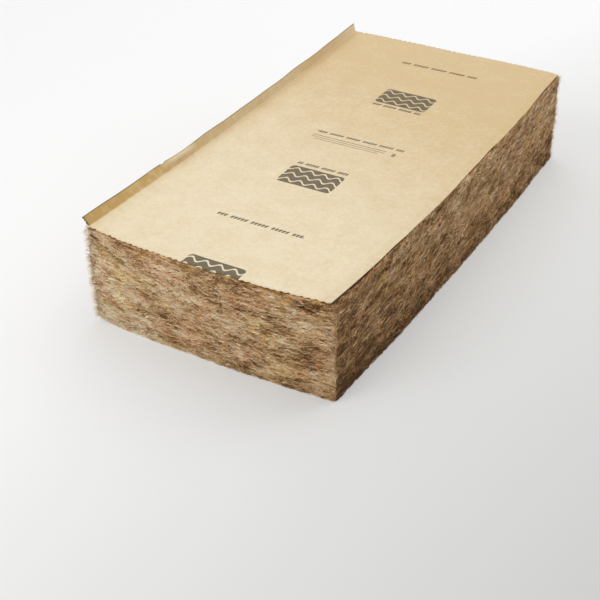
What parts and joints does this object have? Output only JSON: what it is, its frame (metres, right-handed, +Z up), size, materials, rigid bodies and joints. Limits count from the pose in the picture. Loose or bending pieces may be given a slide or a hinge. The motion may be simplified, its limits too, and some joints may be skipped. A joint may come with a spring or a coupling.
{
  "type": "kraft-faced insulation batt",
  "caption": "Rectangular glass wool insulation batt with a kraft paper facing and stapling tabs along its two long edges.",
  "frame": {"origin": "middle of the underside of the wool, midway between the corners of its two cut ends", "axes": "+X across the batt towards the flat tab, +Y along its length away from the more swollen cut end, +Z up through the thickness to the paper"},
  "size_m": [0.6316, 1.2462, 0.265],
  "materials": {
    "glass_wool": "matt fibrous glass wool, mottled brown",
    "kraft_paper": "uncoated natural kraft paper, satin-matt"
  },
  "bodies": {
    "root": {"wool_batt": "glass_wool", "kraft_facing": "kraft_paper"}
  },
  "joints": []
}
